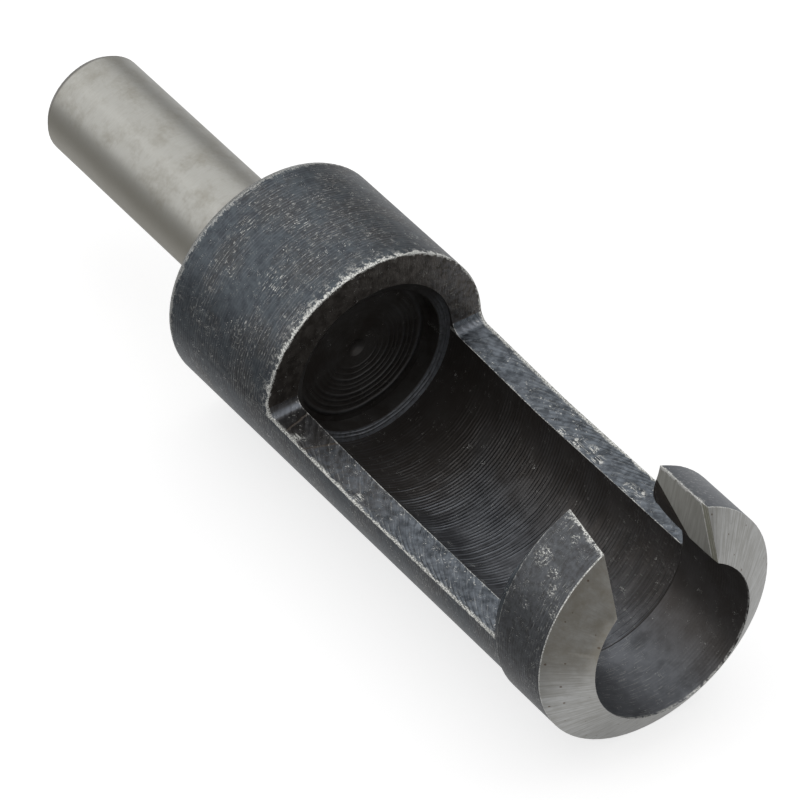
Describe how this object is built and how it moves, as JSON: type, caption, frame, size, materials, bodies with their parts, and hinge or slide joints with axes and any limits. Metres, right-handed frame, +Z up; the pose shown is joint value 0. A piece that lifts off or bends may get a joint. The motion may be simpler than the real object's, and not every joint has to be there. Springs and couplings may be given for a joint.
{
  "type": "plug cutter",
  "caption": "Steel plug cutter with a round shank, a hollow body open through a side window, and a hooked, bevelled cutting head that cuts round wooden plugs.",
  "frame": {"origin": "middle of the bottom of the bounding box, under the cutting head's lowest point, where the cutter lies on its side", "axes": "+X along the axis from the shank's end to the cutting end, +Y towards the tooth, +Z up out of the window"},
  "size_m": [0.0526, 0.0142, 0.0139],
  "materials": {
    "plug_cutter": "black oxide body, satin shank, bright ground bevel and rake face"
  },
  "bodies": {
    "root": {"plug_cutter": "plug_cutter"}
  },
  "joints": []
}
